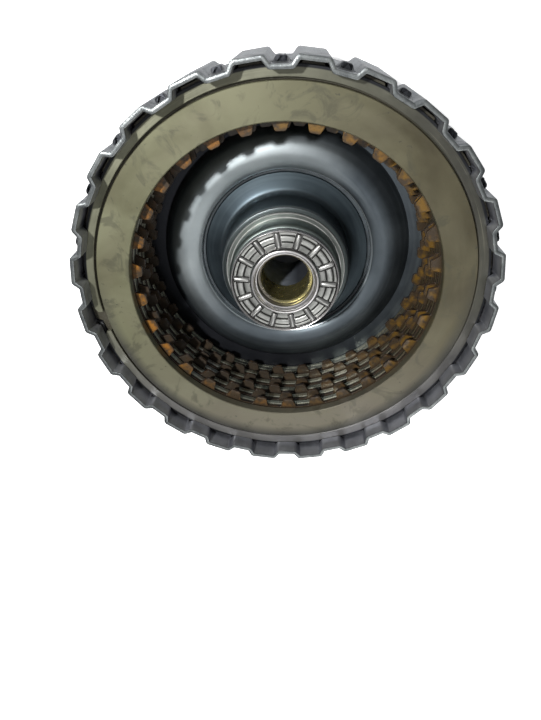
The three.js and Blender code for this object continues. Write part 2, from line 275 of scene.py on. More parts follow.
def mesh_piece(name, vertices, faces, bands=None):
    mesh = bpy.data.meshes.new(name)
    mesh.from_pydata(vertices, [], faces)
    if bands is not None:
        mesh.polygons.foreach_set("material_index", bands)
    work = bmesh.new()
    work.from_mesh(mesh)
    bmesh.ops.recalc_face_normals(work, faces=work.faces)
    work.to_mesh(mesh)
    work.free()
    piece = bpy.data.objects.new(name, mesh)
    bpy.context.scene.collection.objects.link(piece)
    return piece


def ring_piece(name, stations, bands=None):
    """A closed ring from stations of (outline, depth), each joined to the next and the last to the first.
    bands holds the material index of the strip that follows each station."""
    levels = [np.broadcast_to(HEIGHT - np.asarray(depth, float), len(outline)) for outline, depth in stations]
    outlines = [outline for outline, _ in stations]
    points = np.concatenate([np.column_stack(pair) for pair in zip(outlines, levels)]) * MM
    count = len(outlines[0])
    faces, indices = [], []
    for s in range(len(stations)):
        here, following = s * count, (s + 1) % len(stations) * count
        for n in range(count):
            after = (n + 1) % count
            faces.append((here + n, here + after, following + after, following + n))
        indices += [bands[s] if bands else 0] * count
    return mesh_piece(name, points.tolist(), faces, indices)


def turned_piece(name, section, segments, bands=None):
    """A ring turned from a closed section of [radius, depth] points."""
    return ring_piece(name, [(circle(radius, segments), depth) for radius, depth in section], bands)


def cut(piece, cutters):
    """Subtracts the joined cutters from a piece."""
    modifier = piece.modifiers.new("cut", "BOOLEAN")
    modifier.operation = "DIFFERENCE"
    modifier.solver = "EXACT"
    modifier.object = cutters
    evaluated = piece.evaluated_get(bpy.context.evaluated_depsgraph_get())
    mesh = bpy.data.meshes.new_from_object(evaluated)
    piece.modifiers.clear()
    piece.data = mesh
    bpy.data.objects.remove(cutters)


def prisms(name, outlines, top, bottom):
    """One object of upright prisms, as a tool for cut()."""
    vertices, faces = [], []
    for outline in outlines:
        first, count = len(vertices), len(outline)
        for depth in (bottom, top):
            vertices += [(x * MM, y * MM, level(depth)) for x, y in outline]
        for n in range(count):
            after = (n + 1) % count
            faces.append((first + n, first + after, first + count + after, first + count + n))
        faces.append(tuple(first + n for n in reversed(range(count))))
        faces.append(tuple(first + count + n for n in range(count)))
    return mesh_piece(name, vertices, faces)


def place(piece, node, *materials):
    """Gives a finished piece its shading and materials, and lets it stand for its CAD node."""
    sharp_degrees = 32
    piece.data.shade_smooth()
    piece.data.set_sharp_from_angle(angle=math.radians(sharp_degrees))
    for material in materials:
        piece.data.materials.append(material)
    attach(piece, BODY_OF[node])
    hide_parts(node)
    return piece


# ---------- materials ----------


class Surface:
    """A Principled material fed by procedural patterns in the piece's own space."""

    def __init__(self, name, **values):
        self.material = bpy.data.materials.new(name)
        self.material.use_nodes = True
        self.tree = self.material.node_tree
        self.shader = self.tree.nodes["Principled BSDF"]
        for socket, value in values.items():
            self.shader.inputs[socket.replace("_", " ")].default_value = value
        self.position = self.add("ShaderNodeTexCoord").outputs["Object"]
        self.x, self.y, self.z = self.add("ShaderNodeSeparateXYZ", {"Vector": self.position}).outputs
        self.angle = self.math("ARCTAN2", self.y, self.x)
        squares = [self.times(side, side) for side in (self.x, self.y)]
        self.radius = self.math("SQRT", self.math("ADD", *squares))

    def add(self, kind, inputs=None, **settings):
        node = self.tree.nodes.new(kind)
        for setting, value in settings.items():
            setattr(node, setting, value)
        for key, value in (inputs or {}).items():
            if isinstance(value, bpy.types.NodeSocket):
                self.tree.links.new(value, node.inputs[key])
            else:
                node.inputs[key].default_value = value
        return node

    def math(self, operation, a, b=0.0):
        return self.add("ShaderNodeMath", {0: a, 1: b}, operation=operation).outputs[0]

    def times(self, first, second):
        return self.math("MULTIPLY", first, second)

    def noise(self, scale, detail=3.0, roughness=0.5, vector=None, distortion=0.0):
        inputs = {"Vector": vector or self.position, "Scale": scale, "Detail": detail}
        inputs.update({"Roughness": roughness, "Distortion": distortion})
        return self.add("ShaderNodeTexNoise", inputs).outputs[0]

    def stretched(self, along_radius, along_angle, along_axis, detail=3.0):
        """Noise in cylinder coordinates: a low number draws it out in that direction."""
        vector = self.add("ShaderNodeCombineXYZ", {
            0: self.times(self.radius, along_radius),
            1: self.times(self.angle, along_angle),
            2: self.times(self.z, along_axis),
        }).outputs[0]
        return self.noise(1.0, detail, vector=vector)

    def ramp(self, value, low, high, out_low=0.0, out_high=1.0):
        inputs = {0: value, 1: low, 2: high, 3: out_low, 4: out_high}
        return self.add("ShaderNodeMapRange", inputs).outputs[0]

    def mix(self, share, first, second):
        node = self.add("ShaderNodeMix", {0: share}, data_type="RGBA")
        for index, value in ((6, first), (7, second)):
            if isinstance(value, bpy.types.NodeSocket):
                self.tree.links.new(value, node.inputs[index])
            else:
                node.inputs[index].default_value = (*value, 1.0)
        return node.outputs[2]

    def feed(self, socket, value):
        self.tree.links.new(value, self.shader.inputs[socket])

    def between(self, outer_fade, inner_fade):
        """1 between two radii of the part, and 0 past them. Each fade says at which radius it is 0 and at
        which it is 1."""
        shares = [self.ramp(self.radius, none * MM, full * MM) for none, full in (outer_fade, inner_fade)]
        return self.times(*shares)

    def bump(self, height, millimetres):
        inputs = {"Height": height, "Distance": millimetres * MM, "Strength": 1.0}
        previous = self.shader.inputs["Normal"].links
        if previous:
            inputs["Normal"] = previous[0].from_socket
        self.feed("Normal", self.add("ShaderNodeBump", inputs).outputs[0])


def drum_rim_steel():
    """Outside and edge of the drum: drawn along the axis, patchy round the lugs, sheared grey at the edge."""
    s = Surface("drum_sheet_steel", Metallic=0.85, Specular_Tint=(0.4, 0.41, 0.42, 1.0))
    drawn = s.stretched(900, 160, 40)
    mottle = s.noise(160, 5, 0.65)
    grain = s.noise(2600, 3, 0.7)
    edge = s.ramp(s.z, level(1.0), level(0.15))
    lug_band = s.ramp(s.z, level(LUG_BOTTOM + 3), level(LUG_BOTTOM), 0, 0.85)
    body = s.mix(s.ramp(mottle, 0.35, 0.65), (0.10, 0.107, 0.115), (0.18, 0.188, 0.198))
    body = s.mix(s.ramp(drawn, 0.45, 0.75, 0, 0.55), body, (0.25, 0.26, 0.27))
    patches = s.mix(s.ramp(mottle, 0.4, 0.6), (0.06, 0.063, 0.067), (0.22, 0.225, 0.23))
    body = s.mix(lug_band, body, patches)
    sheared = s.mix(s.ramp(mottle, 0.35, 0.65), (0.12, 0.13, 0.133), (0.24, 0.253, 0.25))
    sheared = s.mix(s.ramp(grain, 0.5, 0.7, 0, 0.5), sheared, (0.07, 0.078, 0.08))
    s.feed("Base Color", s.mix(edge, body, sheared))
    s.feed("Roughness", s.ramp(grain, 0.3, 0.75, 0.3, 0.52))
    s.bump(drawn, 0.05)
    s.bump(mottle, 0.12)
    s.bump(grain, 0.02)
    back_wall = s.ramp(s.z, 0.011, 0.009)
    s.bump(s.times(s.stretched(1300, 0.8, 0), back_wall), 0.12)
    return s.material


def drum_inner_steel(name, dark, light, marks):
    """Inside of the drum: oily slate grey, with the marks that the drawing tool left along the axis. Given
    near-black tones, it is the painted shade inside the lugs' mouths.
    """
    s = Surface(name, Metallic=0.85)
    drawn = s.stretched(300, 240, 30)
    film = s.noise(90, 4, 0.6)
    tone = s.mix(s.ramp(film, 0.35, 0.65), dark, light)
    s.feed("Base Color", s.mix(s.ramp(drawn, 0.55, 0.8, 0, 0.5), tone, marks))
    s.feed("Roughness", s.ramp(film, 0.3, 0.7, 0.3, 0.5))
    s.bump(drawn, 0.04)
    return s.material


def lit_left_shaded_right(s, share, left, right):
    """A tone between two pairs: painted light on the left of the part and painted shade on the right."""
    side = s.ramp(s.x, -0.055, 0.06)
    return s.mix(side, s.mix(share, *left), s.mix(share, *right))


def backing_steel():
    """Olive oil-stained face with turning rings, smudges and dark specks. Painted light makes it lighter on
    the left and towards the bottom; painted shade makes it darker on the right and round its lower edge, and
    brown in the corner under the snap ring."""
    s = Surface("backing_plate_steel", Metallic=0.4)
    clouds = s.noise(26, 4, 0.55, distortion=0.6)
    sheen = s.stretched(90, 2.2, 0, detail=4)
    stains = s.noise(58, 5, 0.62, distortion=1.8)
    specks = s.noise(420, 2, 0.5)
    rings = s.stretched(5200, 1.5, 4000)
    # Lit and shaded pairs: painted light on the left, painted shade on the right.
    left = (0.122, 0.118, 0.066), (0.195, 0.197, 0.118)
    right = (0.060, 0.051, 0.027), (0.105, 0.094, 0.053)
    tone = lit_left_shaded_right(s, s.ramp(clouds, 0.34, 0.66), left, right)
    # Painted light: lighter and mauve-grey towards the bottom.
    tone = s.mix(s.ramp(s.y, -0.02, -0.075, 0, 0.65), tone, (0.137, 0.121, 0.099))
    tone = s.mix(s.ramp(sheen, 0.42, 0.75, 0, 0.4), tone, (0.165, 0.152, 0.10))
    tone = s.mix(s.ramp(stains, 0.54, 0.64, 0, 0.55), tone, (0.06, 0.058, 0.038))
    tone = s.mix(s.ramp(specks, 0.70, 0.76, 0, 0.6), tone, (0.04, 0.04, 0.03))
    # Painted shade round the lower edge of the raised face.
    lower_edge_shade = s.ramp(s.radius, (RAISED_FACE - 5.7) * MM, (RAISED_FACE - 0.9) * MM, 0, 0.95)
    tone = s.mix(s.times(lower_edge_shade, s.ramp(s.y, 0.01, -0.035)), tone, (0.042, 0.041, 0.034))
    # Painted shade: brown-black in the corner under the snap ring, between the raised face and the shoulder.
    outer = s.ramp(s.radius, (RAISED_FACE - 0.6) * MM, (RAISED_FACE - 0.3) * MM)
    low = s.ramp(s.z, level(GROOVE_TOP + 1.0), level(GROOVE_TOP + 0.6), 1.0, 0.0)
    s.feed("Base Color", s.mix(s.times(outer, low), tone, (0.055, 0.05, 0.034)))
    s.feed("Roughness", s.ramp(clouds, 0.3, 0.7, 0.38, 0.54))
    s.bump(rings, 0.012)
    s.bump(stains, 0.02)
    return s.material


def backing_ring_steel():
    """Drawn spring wire with light streaks along its length. Painted light and shade make it lighter on the
    left and darker on the right, like the backing plate, and lighter and greyer at the bottom; painted shade
    makes it black where it lies in the drum's groove."""
    s = Surface("snap_ring_steel", Metallic=0.6)
    drawn = s.stretched(2600, 5, 2600)
    film = s.noise(55, 4, 0.6)
    streaks = s.stretched(1400, 2, 0)
    # Lit and shaded pairs: painted light on the left, painted shade on the right.
    left = (0.13, 0.13, 0.088), (0.20, 0.20, 0.14)
    right = (0.055, 0.054, 0.044), (0.085, 0.083, 0.066)
    tone = lit_left_shaded_right(s, s.ramp(film, 0.35, 0.65), left, right)
    tone = s.mix(s.ramp(streaks, 0.6, 0.75, 0, 0.5), tone, (0.27, 0.26, 0.19))
    tone = s.mix(s.ramp(drawn, 0.35, 0.2, 0, 0.5), tone, (0.04, 0.04, 0.032))
    # Painted light: lighter and greyer towards the bottom.
    tone = s.mix(s.ramp(s.y, -0.01, -0.065, 0, 0.8), tone, (0.175, 0.17, 0.17))
    # Painted shade: black where the ring lies in the drum's groove.
    groove_shade = s.ramp(s.radius, VALLEY * MM, (VALLEY + 0.4) * MM)
    s.feed("Base Color", s.mix(groove_shade, tone, (0.012, 0.013, 0.015)))
    s.feed("Roughness", s.ramp(drawn, 0.3, 0.8, 0.36, 0.5))
    s.bump(drawn, 0.03)
    return s.material


def ring_steel(name, base, lighter, bore=0.0, rim=0.0):
    """Flat spring-steel wire, drawn along its length, with painted highlights along its two edges where a
    bore and rim are given."""
    s = Surface(name, Metallic=0.85)
    drawn = s.stretched(2600, 5, 2600)
    film = s.noise(70, 4, 0.6)
    tone = s.mix(s.ramp(film, 0.35, 0.65), base, lighter)
    tone = s.mix(s.ramp(drawn, 0.55, 0.85, 0, 0.4), tone, [1.6 * c for c in lighter])
    # Painted highlights along the bore and rim edges.
    if rim:
        inner = s.ramp(s.radius, (bore + 0.2) * MM, (bore + 0.45) * MM, 1.0, 0.0)
        outer = s.ramp(s.radius, (rim - 0.45) * MM, (rim - 0.2) * MM)
        tone = s.mix(s.math("MAXIMUM", inner, outer), tone, (0.74, 0.74, 0.71))
    s.feed("Base Color", tone)
    s.feed("Roughness", s.ramp(drawn, 0.3, 0.8, 0.34, 0.5))
    s.bump(drawn, 0.03)
    return s.material


def friction_core():
    """Adhesive film burnt nearly black, amber where it pooled in the middle of a tooth, with painted shade
    towards the root; painted shade makes it duller on the right and darker from the second plate down, most
    on the left."""
    s = Surface(
        "friction_core_film", Metallic=0.0, Specular_IOR_Level=0.25, Coat_Weight=0.12, Coat_Roughness=0.12
    )
    pools = s.noise(230, 3, 0.55)
    hue = s.noise(17, 2, 0.5)
    grain = s.noise(900, 4, 0.6)
    # Amber kept away from the tip and root; towards the root this is painted shade under the backing plate.
    on_tooth = s.between((TOOTH_TIP, TOOTH_TIP + 1.4), (TOOTH_ROOT + 0.1, TOOTH_ROOT - 1.3))
    share = s.times(s.ramp(pools, 0.42, 0.60), on_tooth)
    amber = s.mix(s.ramp(hue, 0.5, 0.66, 0, 0.8), (0.23, 0.098, 0.016), (0.13, 0.085, 0.022))
    # Painted shade: duller, yellower amber on the right.
    amber = s.mix(s.ramp(s.x, 0.01, 0.05), amber, (0.15, 0.082, 0.014))
    amber = s.mix(s.ramp(s.y, -0.035, -0.06, 0, 0.75), amber, (0.085, 0.052, 0.024))
    tone = s.mix(share, (0.046, 0.032, 0.019), amber)
    tone = s.mix(s.ramp(grain, 0.52, 0.72, 0, 0.6), tone, (0.03, 0.017, 0.008))
    # Painted shade on the plates from the second down, strongest on the left.
    below_first = s.ramp(s.z, level(14.5), level(19.0), 0.0, 0.9)
    lower_plates_shade = s.times(below_first, s.ramp(s.x, -0.01, 0.045, 1.0, 0.1))
    s.feed("Base Color", s.mix(lower_plates_shade, tone, (0.034, 0.027, 0.020)))
    s.feed("Roughness", s.ramp(grain, 0.3, 0.7, 0.24, 0.45))
    s.bump(pools, 0.15)
    s.bump(grain, 0.015)
    return s.material


def friction_core_edge():
    """Blanked edge of the core: nearly black, and brown where the film ran over it."""
    s = Surface("friction_core_edge", Metallic=0.3)
    runs = s.noise(260, 4, 0.6)
    blanked = s.stretched(400, 500, 40)
    tone = s.mix(s.ramp(runs, 0.42, 0.68), (0.032, 0.024, 0.020), (0.10, 0.056, 0.028))
    s.feed("Base Color", s.mix(s.ramp(blanked, 0.55, 0.8, 0, 0.4), tone, (0.09, 0.07, 0.045)))
    s.feed("Roughness", s.ramp(runs, 0.3, 0.7, 0.28, 0.5))
    s.bump(blanked, 0.03)
    return s.material


def friction_paper():
    """Pressed fibre lining, soaked with oil."""
    s = Surface("friction_paper", Metallic=0.0)
    fibres = s.noise(1500, 6, 0.75)
    soak = s.noise(60, 3, 0.5)
    tone = s.mix(s.ramp(soak, 0.35, 0.65), (0.045, 0.026, 0.016), (0.10, 0.058, 0.032))
    s.feed("Base Color", s.mix(s.ramp(fibres, 0.45, 0.7, 0, 0.7), tone, (0.17, 0.11, 0.065)))
    s.feed("Roughness", s.ramp(soak, 0.3, 0.7, 0.6, 0.85))
    s.bump(fibres, 0.08)
    return s.material


def plate_steel():
    """Smooth plate with a grey-green oil film, blanking marks and faint heat tints, turning darker and brown
    towards the right.
    """
    s = Surface("smooth_plate_steel", Metallic=0.85)
    blanked = s.stretched(300, 420, 60)
    tint = s.noise(28, 3, 0.5)
    face = s.stretched(4200, 2, 0)
    tone = s.mix(s.ramp(tint, 0.35, 0.65), (0.34, 0.34, 0.265), (0.48, 0.475, 0.375))
    tone = s.mix(s.ramp(tint, 0.62, 0.72, 0, 0.5), tone, (0.22, 0.22, 0.27))
    tone = s.mix(s.ramp(blanked, 0.5, 0.8, 0, 0.5), tone, (0.50, 0.52, 0.46))
    # Darker and brown towards the right.
    s.feed("Base Color", s.mix(s.ramp(s.x, 0.03, 0.06, 0, 0.85), tone, (0.10, 0.068, 0.028)))
    s.feed("Roughness", s.ramp(blanked, 0.3, 0.8, 0.24, 0.42))
    s.bump(blanked, 0.03)
    s.bump(face, 0.008)
    return s.material


def piston_steel():
    """Blue-grey satin sheet with a painted highlight that makes the crown pale at the left and rear, painted
    shade on the flange at the left, and a painted highlight round its lip."""
    s = Surface("piston_steel", Metallic=0.9)
    spun = s.stretched(1500, 1.2, 900)
    wide = s.stretched(210, 0.6, 150, detail=2)
    clouds = s.noise(42, 4, 0.6)
    grain = s.noise(1500, 3, 0.6)
    tone = s.mix(s.ramp(clouds, 0.3, 0.7), (0.062, 0.074, 0.085), (0.098, 0.115, 0.127))
    # Painted highlight: the crown pale towards the left and rear.
    across = s.math("ADD", s.times(s.x, -0.75), s.times(s.y, 0.66))
    crown = s.times(s.ramp(across, 0.0, 0.036), s.ramp(s.radius, (SKIRT - 2.4) * MM, (SKIRT - 7.4) * MM))
    pale = s.mix(s.ramp(clouds, 0.3, 0.7), (0.235, 0.262, 0.27), (0.33, 0.362, 0.37))
    tone = s.mix(crown, tone, pale)
    tone = s.mix(s.ramp(wide, 0.52, 0.72, 0, 0.3), tone, (0.30, 0.34, 0.355))
    # Painted shade: the flange nearly black on the left.
    flange = s.ramp(s.radius, (SKIRT - 3.4) * MM, (SKIRT + 0.6) * MM)
    tone = s.mix(s.times(flange, s.ramp(s.x, 0.045, 0.01)), tone, (0.03, 0.032, 0.038))
    # Painted highlight: a bright, glossier ring round the lip.
    lip = s.ramp(s.radius, (WELL + 0.75) * MM, (WELL + 0.45) * MM)
    s.feed("Base Color", s.mix(lip, tone, (0.66, 0.72, 0.74)))
    s.feed("Roughness", s.math("ADD", s.ramp(clouds, 0.3, 0.7, 0.42, 0.54), s.ramp(lip, 0, 1, 0, -0.2)))
    s.bump(spun, 0.008)
    s.bump(wide, 0.04)
    s.bump(grain, 0.006)
    return s.material


def balance_steel():
    """Dark slate sheet with faint rings from spinning, painted highlights on the lit side of its neck's wall
    and top, and painted shade beside the retainer ring.
    """
    s = Surface("balance_steel", Metallic=0.9)
    spun = s.stretched(1500, 1.2, 900)
    wide = s.stretched(420, 0.6, 300, detail=2)
    clouds = s.noise(42, 4, 0.6)
    tone = s.mix(s.ramp(clouds, 0.3, 0.7), (0.026, 0.035, 0.042), (0.040, 0.053, 0.061))
    tone = s.mix(s.ramp(wide, 0.5, 0.7, 0, 0.5), tone, (0.062, 0.08, 0.09))
    # Painted highlights on the neck's wall and top, strongest on the lit side.
    lit = s.ramp(s.math("SUBTRACT", s.y, s.x), -0.005, 0.03, 0.15, 1.0)
    wall = s.times(s.ramp(s.radius, (NECK + 3.2) * MM, (NECK + 1.2) * MM), lit)
    tone = s.mix(wall, tone, (0.10, 0.125, 0.14))
    neck_top_highlight = s.times(s.ramp(s.z, level(JOURNAL_TOP + 2.6), level(JOURNAL_TOP + 0.1)), lit)
    tone = s.mix(neck_top_highlight, tone, (0.46, 0.51, 0.53))
    # Painted shade on the band beside and under the retainer ring.
    under_retainer = s.between((NECK - 0.7, NECK - 1.1), (JOURNAL + 0.7, JOURNAL + 0.9))
    s.feed("Base Color", s.mix(under_retainer, tone, (0.055, 0.066, 0.066)))
    s.feed("Roughness", s.ramp(clouds, 0.3, 0.7, 0.34, 0.44))
    s.bump(spun, 0.008)
    s.bump(wide, 0.04)
    return s.material


def turned_steel(name, dark, light, roughness):
    """Turned and ground steel: fine rings round the axis under a thin oil film."""
    s = Surface(name, Metallic=0.95)
    rings = s.stretched(3800, 1.0, 3800)
    film = s.noise(60, 3, 0.55)
    tone = s.mix(s.ramp(film, 0.35, 0.65), dark, light)
    s.feed("Base Color", s.mix(s.ramp(rings, 0.5, 0.8, 0, 0.4), tone, [1.35 * c for c in light]))
    s.feed("Roughness", s.ramp(rings, 0.3, 0.8, roughness, roughness + 0.14))
    s.bump(rings, 0.012)
    return s.material


def cage_steel():
    """Pressed cage: ridges in plain steel tones, and painted shade making its grooves and lower parts nearly
    black.
    """
    s = Surface("cage_pressed_steel", Metallic=0.85)
    drawn = s.stretched(1800, 3, 1800)
    film = s.noise(150, 4, 0.6)
    # Painted shade: grooves and lower parts nearly black below the ridges.
    ridge = s.ramp(s.z, level(15.45), level(14.95))
    tone = s.mix(s.ramp(film, 0.35, 0.65), (0.26, 0.265, 0.25), (0.40, 0.405, 0.385))
    tone = s.mix(s.ramp(drawn, 0.5, 0.8, 0, 0.4), tone, (0.52, 0.52, 0.50))
    s.feed("Base Color", s.mix(ridge, (0.03, 0.03, 0.028), tone))
    s.feed("Roughness", s.ramp(film, 0.3, 0.7, 0.32, 0.46))
    s.bump(drawn, 0.02)
    return s.material


def bronze():
    """Bush bronze: bored and yellow, with painted shade turning its front edge grey except at the lower
    right.
    """
    s = Surface("bush_bronze", Metallic=0.9)
    rings = s.stretched(2200, 2.0, 2200)
    worn = s.noise(190, 4, 0.65)
    tone = s.mix(s.ramp(worn, 0.4, 0.65), (0.66, 0.58, 0.24), (0.36, 0.32, 0.16))
    tone = s.mix(s.ramp(rings, 0.55, 0.8, 0, 0.4), tone, (0.80, 0.72, 0.30))
    front = s.ramp(s.z, level(BUSH_DEPTH + 0.75), level(BUSH_DEPTH + 0.5))
    # Painted shade: the front edge grey except at the lower right, where the light falls.
    grey = s.times(front, s.ramp(s.math("SUBTRACT", s.x, s.y), 0.002, 0.014, 0.9, 0.0))
    s.feed("Base Color", s.mix(grey, tone, (0.22, 0.205, 0.19)))
    s.feed("Roughness", s.ramp(worn, 0.3, 0.7, 0.2, 0.38))
    s.bump(rings, 0.02)
    return s.material


def shaded_bore():
    """Rough bore behind the bush, with painted shade making its right side black, where the key light reaches
    it.
    """
    s = Surface("hub_oiled_bore", Metallic=0.0, Specular_IOR_Level=0.15)
    film = s.noise(160, 4, 0.6)
    rings = s.stretched(1200, 2, 1200)
    tone = s.mix(s.ramp(film, 0.4, 0.65), (0.16, 0.18, 0.21), (0.24, 0.265, 0.31))
    # Painted shade: black on its right side, which the key light reaches.
    s.feed("Base Color", s.mix(s.ramp(s.x, -0.002, 0.006), tone, (0.035, 0.039, 0.047)))
    s.feed("Roughness", s.ramp(film, 0.3, 0.7, 0.6, 0.8))
    s.bump(rings, 0.02)
    return s.material


def rubber():
    s = Surface("seal_rubber", Metallic=0.0, Specular_IOR_Level=0.35)
    speckle = s.noise(1900, 4, 0.65)
    bloom = s.noise(130, 3, 0.5)
    s.feed("Base Color", s.mix(s.ramp(bloom, 0.3, 0.7), (0.022, 0.028, 0.032), (0.05, 0.06, 0.067)))
    s.feed("Roughness", s.ramp(bloom, 0.3, 0.7, 0.45, 0.65))
    s.bump(speckle, 0.015)
    return s.material


def floor_paper():
    """White paper that glows faintly round the part, and lies in its shade under the hub."""
    s = Surface("floor_paper", Roughness=0.9, Specular_IOR_Level=0.1)
    fibre = s.noise(900, 4, 0.6)
    shade = s.ramp(s.radius, 0.03, 0.08)
    paper_white = s.mix(fibre, (0.93, 0.93, 0.93), (0.96, 0.96, 0.96))
    s.feed("Base Color", s.mix(shade, (0.14, 0.15, 0.18), paper_white))
    s.shader.inputs["Emission Color"].default_value = (1, 1, 1, 1)
    s.feed("Emission Strength", s.ramp(s.radius, 0.06, 0.10, 0.0, 0.8))
    return s.material


# ---------- drum shell ----------


def lug_rise(outline, depth):
    """How far each point of the outer outline is pushed out by the hump in its valley at that depth."""
    end_blend = 1.1
    side_blend_degrees = 1.35
    wrinkle_height = 0.25
    window = smoothstep((depth - LUG_TOP) / end_blend) * smoothstep((LUG_BOTTOM - depth) / end_blend)
    angles = np.degrees(np.arctan2(outline[:, 1], outline[:, 0]))
    period = 360 / SPLINES
    from_middle = np.abs((angles + period / 2) % period - period / 2)
    rise = []
    for around, from_lug in zip(angles, from_middle):
        wrinkle = wrinkle_height * noise.noise(Vector((around * 1.3, depth * 0.9, 4.0)))
        side = smoothstep((LUG_HALF - from_lug) / side_blend_degrees)
        rise.append(window * (LUG_HEIGHT + wrinkle) * side)
    return np.array(rise)


def blacken_mouths(piece):
    """Gives the inside of each lug's mouth the near-black material that paints shade there."""
    period = 360 / SPLINES
    mouth_index = 2
    for face in piece.data.polygons:
        x, y, z = face.center / MM
        depth = HEIGHT - z
        from_middle = abs((math.degrees(math.atan2(y, x)) + period / 2) % period - period / 2)
        in_sheet = MOUTH_INNER + 0.05 < math.hypot(x, y) < MOUTH_OUTER + 0.1
        in_depth = LUG_TOP - 0.4 < depth < MOUTH_BOTTOM + 0.1
        if in_sheet and in_depth and from_middle < MOUTH_HALF - 0.05:
            face.material_index = mouth_index


def drum_shell():
    """Splined sheet with its lugs, shoulder and back wall, and the groove for the backing snap ring."""
    corners = toothed(SPLINES, VALLEY, VALLEY_HALF, CREST, CREST_HALF)
    between = (9, 1, 4, 1)
    inner = rounded(corners, (WIDE_BEND, WIDE_BEND, TIGHT_BEND, TIGHT_BEND), between)
    outer = rounded(offset(corners, SHEET), (TIGHT_BEND, TIGHT_BEND, WIDE_BEND, WIDE_BEND), between)

    def within(share):
        """An outline inside the sheet, from the outer face at 0 to the inner face at 1."""
        return outer * (1 - share) + inner * share

    def pushed_out(depth):
        return outer * (1 + lug_rise(outer, depth) / np.linalg.norm(outer, axis=1))[:, None]

    def rounding_off(outline, radius, share):
        return outline * (1 - share) + circle_like(outline, radius) * share

    outer_bend, inner_bend = 91.4, 89.5
    shoulder_back = SHOULDER_DEPTH + BACK_SHEET
    boss = POCKET + BACK_SHEET
    outside = [(within(0.24), 0.0), (within(0.07), 0.16), (outer, 0.5), (outer, LUG_TOP - 0.3)]
    lug_ends = (LUG_TOP, LUG_TOP + 1.2), (LUG_TOP + 2.2, LUG_BOTTOM - 2.2), (LUG_BOTTOM - 1.2, LUG_BOTTOM)
    for first, last in lug_ends:
        outside += [(pushed_out(depth), depth) for depth in np.linspace(first, last, 5)]
    outside += [(outer, 30.0), (outer, 50.0)]
    for depth, share in ((52, 0.12), (54, 0.5), (56, 0.88)):
        outside.append((rounding_off(outer, outer_bend, share), depth))
    back = [
        (91.3, 57.6), (90.9, 58.8), (90.1, 59.8), (88.9, 60.5), (87.5, shoulder_back),
        (boss + 1.6, shoulder_back), (boss + 0.5, shoulder_back + 0.5), (boss, shoulder_back + 1.6),
        (boss, HEIGHT - 2.6), (boss - 0.35, HEIGHT - 1.3), (boss - 1.3, HEIGHT - 0.35), (boss - 2.6, HEIGHT),
        (52.6, HEIGHT), (52.0, HEIGHT - 0.5), (46.0, HEIGHT - 0.5), (45.4, HEIGHT),
        (BACK_HOLE + 0.4, HEIGHT), (BACK_HOLE, HEIGHT - 0.4), (BACK_HOLE, POCKET_DEPTH + 0.3),
        (BACK_HOLE + 0.3, POCKET_DEPTH),
    ]
    floor = [
        (POCKET - 1.4, POCKET_DEPTH), (POCKET - 0.4, POCKET_DEPTH - 0.4), (POCKET, POCKET_DEPTH - 1.4),
        (POCKET, SHOULDER_DEPTH + 0.5), (POCKET + 0.5, SHOULDER_DEPTH), (87.3, SHOULDER_DEPTH), (88.6, 57.9),
        (89.3, 56.6),
    ]
    inside = []
    for depth, share in ((55, 0.85), (53.5, 0.45), (52, 0.1)):
        inside.append((rounding_off(inner, inner_bend, share), depth))
    inside += [(inner, 50.0), (inner, 30.0), (inner, 0.35), (within(0.93), 0.1), (within(0.82), 0.0)]
    turned = [(circle_like(outer, radius), depth) for radius, depth in back + floor]
    stations = outside + turned + inside
    dark_from, dark_to = len(outside) + len(back) - 1, len(stations) - 3
    bands = [1 if dark_from <= s < dark_to else 0 for s in range(len(stations))]
    piece = ring_piece("fine_drum_shell", stations, bands)

    def four_corners(low, low_half, high, high_half, middle):
        sides = (low, -low_half), (high, -high_half), (high, high_half), (low, low_half)
        return [polar(radius, middle + turn) for radius, turn in sides]

    middles = np.arange(SPLINES) * 360 / SPLINES
    groove = VALLEY - 2, GROOVE_HALF, GROOVE_RADIUS, GROOVE_HALF
    mouth = MOUTH_INNER, MOUTH_HALF, MOUTH_OUTER, 0.2
    grooves = [four_corners(*groove, middle) for middle in middles]
    mouths = [four_corners(*mouth, middle) for middle in middles]
    cut(piece, prisms("groove_tool", grooves, GROOVE_TOP, GROOVE_BOTTOM))
    cut(piece, prisms("mouth_tool", mouths, LUG_TOP - 0.5, MOUTH_BOTTOM))
    blacken_mouths(piece)
    return piece


# ---------- rings and plates ----------


def open_ring(node, bore, rim, gap_angle, gap_half, taper, shift=0.0, shift_angle=0.0):
    """A flat open ring whose ends are nipped off at the rim, and whose bore may lie off its centre."""
    edge = 0.22
    nipped_degrees = 2.6
    segments = 150
    top, bottom = depths(node)
    start, sweep = gap_angle + gap_half, 360 - 2 * gap_half
    angles = [start + sweep * i / segments for i in range(segments + 1)]
    vertices, faces = [], []
    for angle in angles:
        from_end = min(angle - start, start + sweep - angle)
        outside = rim - taper * (1 - smoothstep(from_end / nipped_degrees))
        inside = bore + shift * math.cos(math.radians(angle - shift_angle))
        section = [
            (inside + edge, top), (inside, top + edge), (inside, bottom - edge), (inside + edge, bottom),
            (outside - edge, bottom), (outside, bottom - edge), (outside, top + edge), (outside - edge, top),
        ]
        for radius, depth in section:
            x, y = polar(radius, angle)
            vertices.append((x * MM, y * MM, level(depth)))
    count = len(section)
    for s in range(segments):
        for n in range(count):
            after = (n + 1) % count
            here, following = s * count, (s + 1) * count
            faces.append((here + n, here + after, following + after, following + n))
    faces.append(tuple(range(count)))
    faces.append(tuple(segments * count + n for n in range(count)))
    return mesh_piece("fine_" + node, vertices, faces)


